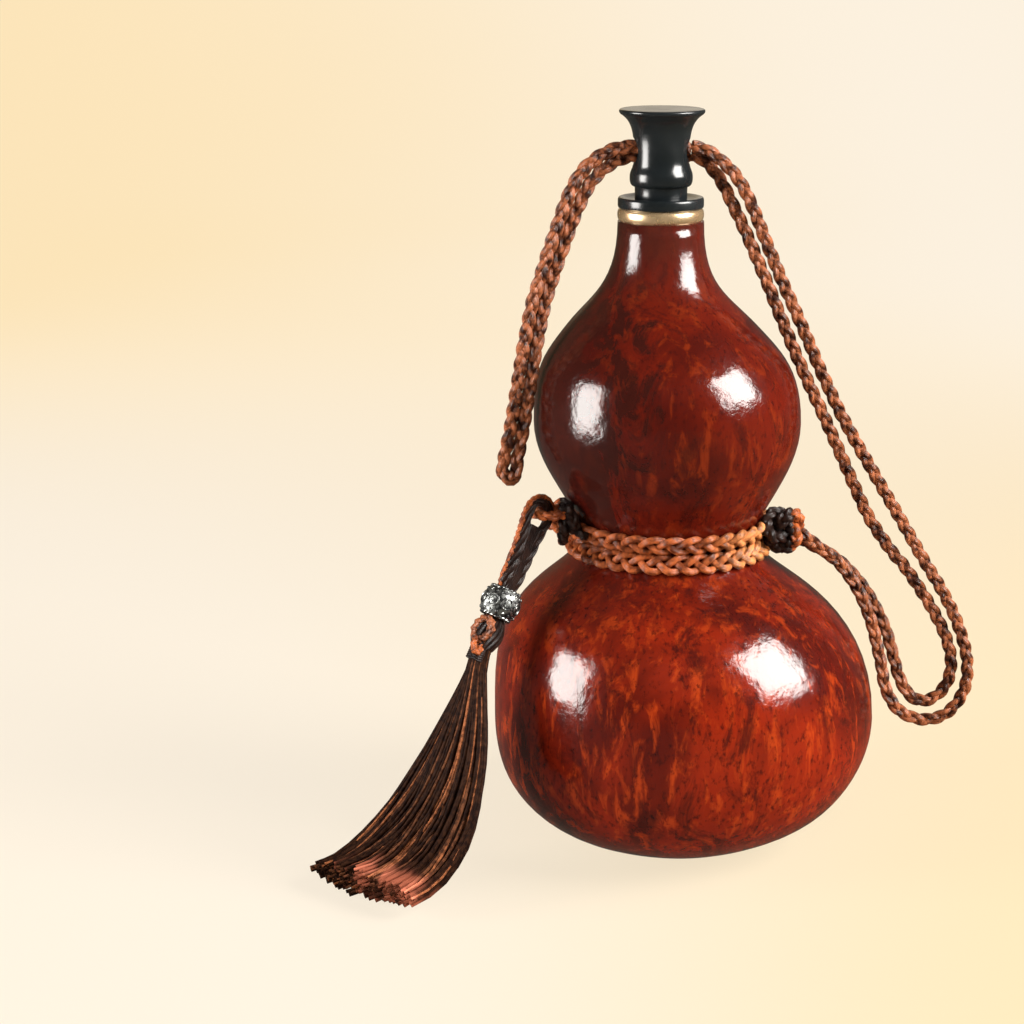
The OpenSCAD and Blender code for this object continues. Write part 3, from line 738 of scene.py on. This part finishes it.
def waist_turn(name, z, start):
    """One turn of three-strand plait that follows the slope of the waist under it."""
    swing, lift = (LASH_WIDTH - LASH_STRAND) / 2, (LASH_THICK - LASH_STRAND) / 2
    steps = PLAIT_TURNS * 24
    lines = []
    for k in range(3):
        line = []
        for i in range(steps):
            a = math.tau * i / steps
            p = PLAIT_TURNS * a + math.tau * k / 3 + start
            up = swing * math.sin(p)
            r = gourd_radius(z + up) + 0.1 + LASH_THICK / 2 + lift * math.sin(2 * p)
            line.append(mm(lean(z) + r * math.cos(a), r * math.sin(a), z + up))
        lines.append(line)
    piece = strings(name, lines, LASH_STRAND, closed=True)
    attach(piece, "bottle")
    return piece


lash_upper = waist_turn("plaited_lashing_upper", WAIST_Z + 3.3, 0)
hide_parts("waist_cord_upper")
lash_lower = waist_turn("plaited_lashing_lower", WAIST_Z - 2.6, 1.1)
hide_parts("waist_cord_lower")


def knot_route(place, azimuth, loops, lift):
    """The closed three-lobed path of an overhand knot that faces away from the waist."""
    a = math.radians(azimuth)
    out = Vector((math.cos(a), math.sin(a), 0))
    across = Vector((-math.sin(a), math.cos(a), 0))
    up = Vector((0, 0, 1))
    route = []
    for i in range(48):
        t = math.tau * i / 48
        r = loops + lift * math.cos(3 * t)
        route.append(Vector(place) + up * -r * math.cos(2 * t) + across * r * math.sin(2 * t)
                     + out * lift * math.sin(3 * t))
    return route


def knotted_cord(name, route, width, strand, period, closed=True, first=TOWARDS_FRONT):
    """A plait along a short or closed route in mm, as in a knot or an eye."""
    line = smooth_line(route, 0.7, closed=closed)
    facing = carried_sides(line, Vector(first), closed)
    turns = round(line_length(line) * 1000 / period)
    plait = plait_lines(line, facing, width, width * 0.85, strand, turns, closed)
    return strings(name, plait, strand, closed=closed)


def lit_and_shaded_halves(piece, first, second, side, at):
    """Painted light and shade: the second finish, the lit one, goes on the faces past a plane that faces the
    given side, and the first, the shaded one, on the rest.
    """
    dress(piece, first, second)
    for face in piece.data.polygons:
        face.material_index = 1 if face.center.dot(Vector(side)) > at / 1000 else 0


knot_right = knotted_cord("knot_at_right", knot_route(from_knot(-1.2, 0, 0.3), -72, 4.2, 2.0), 4.7, 2.3, 9)
# Painted light: the knot's outer half, toward the right lamp, is copper; its inner half by the gourd is
# dark, painted shade
lit_and_shaded_halves(knot_right, DARK, COPPER, (1, 0, 0), KNOT_RIGHT[0] + 1.8)
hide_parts("waist_knot_right")
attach(knot_right, "bottle")

LEFT_AZIMUTH = 203.5
KNOT_LEFT = beside_waist(6.2, LEFT_AZIMUTH, 7)
HINGE = beside_waist(15.4, 205.4, 10.7)
TASSEL_AZIMUTH, TASSEL_TILT = math.radians(40), math.radians(31)
EYE_R = 4.6


def on_eye(angle, centre):
    """A point in mm on the level ring of the eye's cord."""
    return (centre[0] + EYE_R * math.cos(angle), centre[1] + EYE_R * math.sin(angle), centre[2])


EYE_CENTRE = on_eye(TASSEL_AZIMUTH, HINGE)
eye_route = [on_eye(math.tau * i / 16, EYE_CENTRE) for i in range(16)]
left_route = knot_route(beside_waist(6.2, LEFT_AZIMUTH, 7.6), LEFT_AZIMUTH, 4.0, 1.9)
left_turns = knotted_cord("left_knot_turns", left_route, 4.4, 2.2, 9)
left_tie = knotted_cord(
    "left_knot_tie", [KNOT_LEFT, beside_waist(3.4, 210.5, 4.8), beside_waist(2.6, 216, 3.4)], 3.6, 1.9, 9,
    closed=False, first=(0, 0, 1))
eye = knotted_cord("tassel_eye", eye_route, 3.8, 1.9, 9, first=(0, 0, 1))
# Painted light: the knot's outer half, toward the left lamp, is copper; its inner half by the gourd is dark,
# painted shade
lit_and_shaded_halves(left_turns, DARK, COPPER, (-1, 0, 0), -KNOT_LEFT[0] + 1.4)
dress(left_tie, DARK)
dress(eye, COPPER)
knot_left = join("knot_at_left", [left_turns, left_tie, eye])
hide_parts("waist_knot_left")
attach(knot_left, "bottle")

# ---- Tassel ----

HANGER_L, HEAD_L = 35, 10
HEAD_Z = -HANGER_L - HEAD_L
DOWN = Vector((
    -math.sin(TASSEL_TILT) * math.cos(TASSEL_AZIMUTH), -math.sin(TASSEL_TILT) * math.sin(TASSEL_AZIMUTH),
    -math.cos(TASSEL_TILT)))
HANG_X = Vector((
    math.cos(TASSEL_TILT) * math.cos(TASSEL_AZIMUTH), math.cos(TASSEL_TILT) * math.sin(TASSEL_AZIMUTH),
    -math.sin(TASSEL_TILT)))
HANG_Y = Vector((-math.sin(TASSEL_AZIMUTH), math.cos(TASSEL_AZIMUTH), 0))


def hung(x, y, z):
    """A point in mm, given in the leaning line of the hanger with its eye at the top."""
    return tuple(Vector(HINGE) + HANG_X * x + HANG_Y * y - DOWN * z)


def hang_piece(piece):
    """Turns a piece made upright at the origin, in metres, into the hanger's line."""
    settle(piece)
    place = Matrix((HANG_X, HANG_Y, -DOWN)).transposed().to_4x4()
    place.translation = mm(*HINGE)
    piece.matrix_world = place
    settle(piece)
    return piece


EYE_CORD, HANGER_CORD, HANGER_GAP = 3.6, 3.0, 0.9
HANG_R = EYE_CORD / 2 + HANGER_GAP + HANGER_CORD / 2
BEAD_H = 9.6
BEAD_TOP = -HANGER_L + BEAD_H


def make_hanger():
    """Doubled cord over the eye: full above the bead, and squeezed where the bead holds it.

    Each station is (x, z, width) in the hanger's line. Loose tails lie beside the twisted
    strands, and a thin copper cord on the lit outer edge is a painted highlight.
    """
    leg = [(1.8, HEAD_Z + 2, 0.72), (1.8, -HANGER_L, 0.72), (1.8, BEAD_TOP, 0.74), (2.3, BEAD_TOP + 3, 1.0),
           (2.4, -14, 1.06), (3.2, -7, 0.9), (HANG_R, -2, 0.76)]
    turn = [(HANG_R * math.cos(a), HANG_R * math.sin(a), 0.74)
            for a in (math.radians(d) for d in range(0, 181, 20))]
    stations = leg + turn + [(-x, z, w) for x, z, w in reversed(leg)]
    line = smooth_line([hung(x, 0, z) for x, z, _ in stations], 0.6)
    ways, sides = carried_sides(line, HANG_Y)
    runs = [0.0]
    for a, b in zip(stations, stations[1:]):
        runs.append(runs[-1] + math.dist(a[:2], b[:2]))

    def width_at(part):
        want = part * runs[-1]
        for (r0, r1), (a, b) in zip(zip(runs, runs[1:]), zip(stations, stations[1:])):
            if want <= r1:
                return a[2] + (b[2] - a[2]) * (want - r0) / (r1 - r0)
        return stations[-1][2]

    strands = []
    for k in range(4):
        strand = []
        for i, place in enumerate(line):
            part = i / (len(line) - 1)
            a = math.tau * (5 * part + k / 4)
            wide = width_at(part) * 1.15 / 1000
            across = ways[i].cross(sides[i])
            strand.append(place + sides[i] * wide * math.cos(a) + across * wide * math.sin(a))
        strands.append(strand)
    doubled = strings("doubled_hanger", strands, 2.0, taper=width_at)
    dress(doubled, DARK)
    tails = []
    for k in range(10):
        x, y = (k % 5 - 2) * 0.85, 0.95 if k < 5 else -0.95
        tail = []
        for i in range(15):
            t = i / 14
            sway = x * (0.7 + 0.5 * t) + 0.2 * math.sin(4 * t + k)
            tail.append(mm(*hung(sway, y, BEAD_TOP - 1 + (-3.8 - BEAD_TOP + 1) * t)))
        tails.append(tail)
    tails = strings("hanger_tails", tails, 1.9)
    dress(tails, DARK)
    # Painted highlight: a thin copper cord along the hanger's outer edge, toward the left lamp
    edge_r = HANG_R + 1.5
    edge = [hung(-2.6, 0.2, BEAD_TOP - 1), hung(-3.6, 0.2, BEAD_TOP + 3), hung(-4.0, 0, -14),
            hung(-4.9, 0, -7), hung(-edge_r, 0, -2)]
    edge += [hung(edge_r * math.cos(a), 0, edge_r * math.sin(a))
             for a in (math.radians(d) for d in range(170, 20, -15))]
    edge = knotted_cord("hanger_highlight_edge", edge, 2.1, 1.1, 6, closed=False, first=tuple(HANG_Y))
    dress(edge, COPPER)
    return join("doubled_hanger", [doubled, tails, edge])


hanger = make_hanger()
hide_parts("tassel_hanger")
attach(hanger, "tassel")


def grain(radius, place):
    """A small ball of silver, its radius and its place in mm."""
    clear_selection()
    bpy.ops.mesh.primitive_ico_sphere_add(subdivisions=2, radius=radius / 1000, location=mm(*place))
    piece = bpy.context.object
    settle(piece)
    bpy.ops.object.shade_smooth()
    return piece


def rope_ring(radius, z, start):
    """One strand of the twisted wire round an end of the bead."""
    strand = []
    for i in range(72):
        a = math.tau * i / 72
        r = radius + 0.28 * math.cos(9 * a + start)
        strand.append(mm(r * math.cos(a), r * math.sin(a), z + 0.28 * math.sin(9 * a + start)))
    return strings("rope", [strand], 0.75, closed=True, round_steps=1)


def make_bead():
    """Openwork bead: a rounded wall, twisted wire at both ends, eight ringed flowers and grains between."""
    middle = -HANGER_L + BEAD_H / 2
    wall = [(3.6, -4.3), (4.6, -4.5), (5.5, -3.4), (6.0, -1.6), (6.1, 0), (6.0, 1.6), (5.5, 3.4), (4.6, 4.5),
            (3.6, 4.3), (3.55, 0), (3.6, -4.3)]
    rings = [(0, 0, middle + z, r) for r, z in wall]
    parts = [turned("bead_wall", rings, sides=40, ends=(False, False), smooth=50)]
    parts += [rope_ring(4.5, middle + z, start) for z in (-4.3, 4.3) for start in (0, math.pi)]
    flowers = 8
    for i in range(flowers):
        a = math.tau * (i + 0.5) / flowers
        b = a + math.tau / (2 * flowers)
        turn = (math.radians(90), 0, a + math.radians(90))
        for radius, thick in ((1.75, 0.7), (0.8, 0.5)):
            parts.append(torus(radius, thick, (5.85 * math.cos(a), 5.85 * math.sin(a), middle), turn, 20))
        for up in (-3.1, 3.1):
            parts.append(grain(0.55, (5.35 * math.cos(b), 5.35 * math.sin(b), middle + up)))
            parts.append(grain(0.45, (5.45 * math.cos(a), 5.45 * math.sin(a), middle + up * 0.95)))
    return hang_piece(join("silver_openwork_bead", parts))


bead = make_bead()
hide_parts("silver_bead")
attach(bead, "bead")

BOUND_R = 4.1
BINDING_TURNS = 7


def wound_head():
    """Dark cords that spread into a head, and a brown plaited loop tied down its outer side."""
    core = []
    for k in range(12):
        a = math.tau * k / 12
        cord = []
        for i in range(11):
            t = i / 10
            r = 1.5 + 2.5 * math.sin(math.pi * (0.16 + 0.74 * t))
            b = a + 0.7 * t
            cord.append(mm(*hung(r * math.cos(b), r * math.sin(b), HEAD_Z + 0.2 + (HEAD_L - 0.6) * t)))
        core.append(cord)
    core = strings("head_core", core, 2.3)
    middle = hang_piece(turned("head_middle", [
        (0, 0, HEAD_Z + 0.4, 1.6), (0, 0, HEAD_Z + 1.2, 2.6), (0, 0, HEAD_Z + HEAD_L / 2, 3.6),
        (0, 0, HEAD_Z + HEAD_L - 0.8, 2.2), (0, 0, HEAD_Z + HEAD_L - 0.4, 1.2)], sides=24))
    dress(core, DARK)
    dress(middle, DARK)
    route = []
    for i in range(24):
        t = i / 23
        a = math.radians(198) + 0.62 * math.sin(math.tau * t)
        r = 3.7 + 0.9 * math.sin(math.pi * (0.5 + 0.5 * math.cos(math.tau * t)))
        up = 0.5 + 0.5 * math.cos(math.tau * t * 0.98)
        route.append(hung(r * math.cos(a), r * math.sin(a), HEAD_Z + 1.5 + (HEAD_L - 2.6) * up))
    loop = knotted_cord("head_loop", route, 3.2, 1.7, 6, closed=False, first=tuple(-DOWN))
    dress(loop, BROWN)
    a = math.radians(206)
    knot = [hung(4.3 * math.cos(a) + 1.5 * math.cos(b), 4.3 * math.sin(a) + 0.8 * math.sin(b),
                 HEAD_Z - 0.4 + 1.9 * math.sin(b))
            for b in (math.tau * i / 12 for i in range(12))]
    knot = knotted_cord("head_knot", knot, 2.6, 1.4, 4.5, first=(0, 0, 1))
    dress(knot, COPPER)
    return join("wound_head", [core, middle, loop, knot])


head = wound_head()
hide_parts("tassel_head")
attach(head, "tassel")

binding = [
    torus(BOUND_R - 1.0, 0.85, (0, 0, HEAD_Z - 0.35 - 0.66 * i + dice.uniform(-0.04, 0.04)), segments=40)
    for i in range(BINDING_TURNS)
]
binding = hang_piece(join("binding_thread", binding))
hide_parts("tassel_binding")
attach(binding, "tassel")

SKIRT_OUT = Vector((-math.cos(TASSEL_AZIMUTH), -math.sin(TASSEL_AZIMUTH), 0))
SKIRT_SIDE = Vector((math.sin(TASSEL_AZIMUTH), -math.cos(TASSEL_AZIMUTH), 0))


def along_hanger(z):
    """Distance out and height in mm of a point that far up the hanger's line."""
    return (-z * math.sin(TASSEL_TILT), HINGE[2] + z * math.cos(TASSEL_TILT))


SKIRT_TIP = (72.3, 5.8)
SKIRT_LINE = (along_hanger(HEAD_Z), along_hanger(HEAD_Z - 6), (SKIRT_TIP[0] - 31.3, SKIRT_TIP[1] + 2),
              SKIRT_TIP)
# Radius where it is bound, widths that it swells towards at its top and has at its tip, half its depth
SKIRT_BOUND_R, SKIRT_SWELL, SKIRT_W, SKIRT_DEEP = 2.1, 69, 34, 5.4
SKIRT_COUNT, SKIRT_THREAD = 430, 1.3
GOLDEN_TURN = 2.39996


def skirt_string(across, through, cut, wander):
    """The line of one cord of the skirt, by its place in the bundle, both numbers from -1 to 1.

    Full grows from 0 at the binding to 1 where the skirt has spread.
    """
    line = []
    steps = 16
    for i in range(steps + 1):
        t = cut * i / steps
        s, z = curve_at(*SKIRT_LINE, t)
        s1, z1 = curve_at(*SKIRT_LINE, t + 0.01)
        way = Vector((s1 - s, z1 - z)).normalized()
        full = ease((t - 0.07) * 1.27)
        fan = max(0, across + 0.2) * 7 * t**3 - max(0, across) * 13 * t * t * (1 - t)
        wide = SKIRT_BOUND_R + (SKIRT_SWELL * (1 - t) + SKIRT_W * t - 4) / 2 * full * 0.97
        deep = SKIRT_BOUND_R + SKIRT_DEEP * full * (1 - t / 2) * 0.95
        aside = t * t * (40 * (1 - t) - 10)
        loose = full * (2.3 * math.sin(wander + 5 * t) + 1.3 * math.sin(wander * 3.1 + 12 * t))
        y = across * max(wide, 3.2) + aside + fan + loose * (1 - 0.65 * abs(across))
        x = through * deep + 0.5 * full * math.cos(wander * 2.3 + 6 * t)
        line.append(mm(*(Vector((HINGE[0], HINGE[1], 0)) + SKIRT_OUT * (s + x * way.y) + SKIRT_SIDE * y
                         + Vector((0, 0, z - x * way.x)))))
    return line


def make_skirt():
    """Cords of the skirt: mostly dark, with thinner brown and copper ones among them.

    On the side that faces the bottle the cut ends are worn pale.
    """
    lines, slots, widths = [], [], []
    for i in range(SKIRT_COUNT):
        r, a = math.sqrt((i + 0.5) / SKIRT_COUNT), i * GOLDEN_TURN
        across, through = r * math.cos(a), r * math.sin(a)
        cut = dice.uniform(0.965, 0.995) - 0.035 * (across + 1)
        lines.append(skirt_string(across, through, cut, dice.uniform(0, 6.28)))
        shade = dice.random()
        tone = 0 if shade < 0.66 else 1 if shade < 0.90 else 2
        worn = across + dice.uniform(-0.35, 0.35) > -0.15
        slots.append(tone + (3 if worn else 0))
        widths.append((1.0, 0.8, 0.62)[tone] * dice.uniform(0.85, 1.15))
    finishes = [tassel_thread(*THREADS[k], worn) for worn in (False, True) for k in range(3)]
    return strings("skirt_strings", lines, SKIRT_THREAD, round_steps=1, finishes=finishes, slots=slots,
                   widths=widths, taper=lambda t: 0.8 + 0.2 * min(1, 6 * t))


skirt = make_skirt()
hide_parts("tassel_skirt")
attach(skirt, "tassel")

# ---- Dressing the pieces ----

dress(gourd, varnished_skin())
dress(ring, polished_brass())
dress(collar, BLACK)
dress(knob, BLACK)
dress(plug, cork())
dress(seals, soft_seal())
dress(lash_upper, BAND)
dress(lash_lower, BAND)
for piece in (outer_cord, inner_cord, loop_cord):
    dress(piece, BROWN)
dress(bead, blackened_silver())
dress(binding, DARK)

# ---- Floor, backdrop and light ----


PALE_CREAM, WARM_CREAM = (1.0, 0.90, 0.755), (1.0, 0.80, 0.50)
COVE_STEPS, COVE_STEP = 12, 0.08


def cream_paper():
    """Paper that is warmer towards two corners, and keeps the shadows that fall on it.

    The camera sees it at its own colour. Varnish and metal mirror its middle high up, and
    the rest of it only faintly.
    """
    f = Finish("pale cream paper")
    across, back, height = f.split()
    slant = f.maths("DIVIDE", across, f.maths("MAXIMUM", f.maths("ADD", back, 0.8), 0.2))
    turn = f.levels(back, -0.1, 1.4, 1.0, -1.0)
    warm = f.maths("MULTIPLY", slant, f.maths("MULTIPLY", turn, 2.6))
    warm = f.maths("ADD", f.maths("ADD", warm, f.levels(f.noise(0.9, 1, 0.4), 0.3, 0.7, -0.08, 0.08)), 0.45)
    cream = f.mix(f.levels(warm, 0.0, 1.0), PALE_CREAM, WARM_CREAM)
    f.set(Base_Color=f.mix(0.4, cream, (0, 0, 0)), Roughness=0.9, Specular_IOR_Level=0.0)
    path = f.node("LightPath").outputs
    mirrored = f.maths("MAXIMUM", path["Is Glossy Ray"], path["Is Transmission Ray"])
    middle = f.levels(f.maths("ABSOLUTE", across), 0.9, 0.4)
    patch = f.maths("MULTIPLY", middle, f.levels(height, 0.24, 0.42))
    reach = f.maths("MULTIPLY", mirrored, f.maths("MAXIMUM", patch, 0.12))
    glow = f.node("Emission", {"Color": cream, "Strength": f.maths("MAXIMUM", path["Is Camera Ray"], reach)})
    shown = f.maths("MULTIPLY", path["Is Camera Ray"], f.levels(back, 0.15, 0.9, 0.84, 0.97))
    blend = f.node("MixShader", {0: f.maths("MAXIMUM", shown, mirrored)})
    f.feed(blend.inputs[1], f.shader.outputs[0])
    f.feed(blend.inputs[2], glow.outputs[0])
    f.feed(f.nodes["Material Output"].inputs[0], blend.outputs[0])
    return f.material


def make_stage():
    """A sheet of paper that lies flat and sweeps up behind into a wall."""
    clear_selection()
    bpy.ops.mesh.primitive_plane_add(size=1, location=(0, 0, 0))
    floor = name_piece(bpy.context.object, "floor_and_backdrop")
    floor.scale = (7, 3.4, 1)
    settle(floor)
    bpy.ops.object.mode_set(mode="EDIT")
    bpy.ops.mesh.select_all(action="DESELECT")
    bpy.ops.object.mode_set(mode="OBJECT")
    for edge in floor.data.edges:
        edge.select = all(floor.data.vertices[v].co.y > 1 for v in edge.vertices)
    bpy.ops.object.mode_set(mode="EDIT")
    bpy.ops.mesh.select_mode(type="EDGE")
    for i in range(COVE_STEPS):
        a = math.radians(90 * (i + 0.5) / COVE_STEPS)
        step = (0, COVE_STEP * math.cos(a), COVE_STEP * math.sin(a))
        bpy.ops.mesh.extrude_edges_move(TRANSFORM_OT_translate={"value": step})
    bpy.ops.mesh.extrude_edges_move(TRANSFORM_OT_translate={"value": (0, 0, 3)})
    bpy.ops.object.mode_set(mode="OBJECT")
    bpy.ops.object.shade_smooth()
    dress(floor, cream_paper())


LAMP_COLOUR = (1, 0.97, 0.93)
LAMPS_AIM = (0, 0, 0.11)


def soft_box(name, place, width, height, watts):
    data = bpy.data.lights.new(name, "AREA")
    data.shape = "RECTANGLE"
    data.size, data.size_y = width, height
    data.energy = watts
    data.color = LAMP_COLOUR
    lamp = bpy.data.objects.new(name, data)
    lamp.location = place
    lamp.rotation_euler = (Vector(LAMPS_AIM) - Vector(place)).to_track_quat("-Z", "Y").to_euler()
    bpy.context.scene.collection.objects.link(lamp)
    return lamp


def make_world():
    """Cream all round for the camera, and a faint cream light on everything else."""
    faint, bright = 0.05, 0.95
    world = bpy.data.worlds.new("cream studio")
    bpy.context.scene.world = world
    world.use_nodes = True
    nodes, links = world.node_tree.nodes, world.node_tree.links
    background = nodes["Background"]
    background.inputs[0].default_value = (1.0, 0.86, 0.66, 1)
    seen = nodes.new("ShaderNodeLightPath")
    strength = nodes.new("ShaderNodeMath")
    strength.operation = "MULTIPLY_ADD"
    strength.inputs[1].default_value, strength.inputs[2].default_value = bright - faint, faint
    links.new(seen.outputs["Is Camera Ray"], strength.inputs[0])
    links.new(strength.outputs[0], background.inputs[1])


make_stage()
soft_box("left_soft_box", (-0.86, -0.24, 0.24), 0.40, 0.50, 14)
soft_box("right_soft_box", (0.85, -0.35, 0.65), 0.62, 0.62, 34)
fill = soft_box("front_fill", (-0.1, -1.5, 1.1), 1.2, 0.9, 8)
fill.visible_glossy = False
make_world()
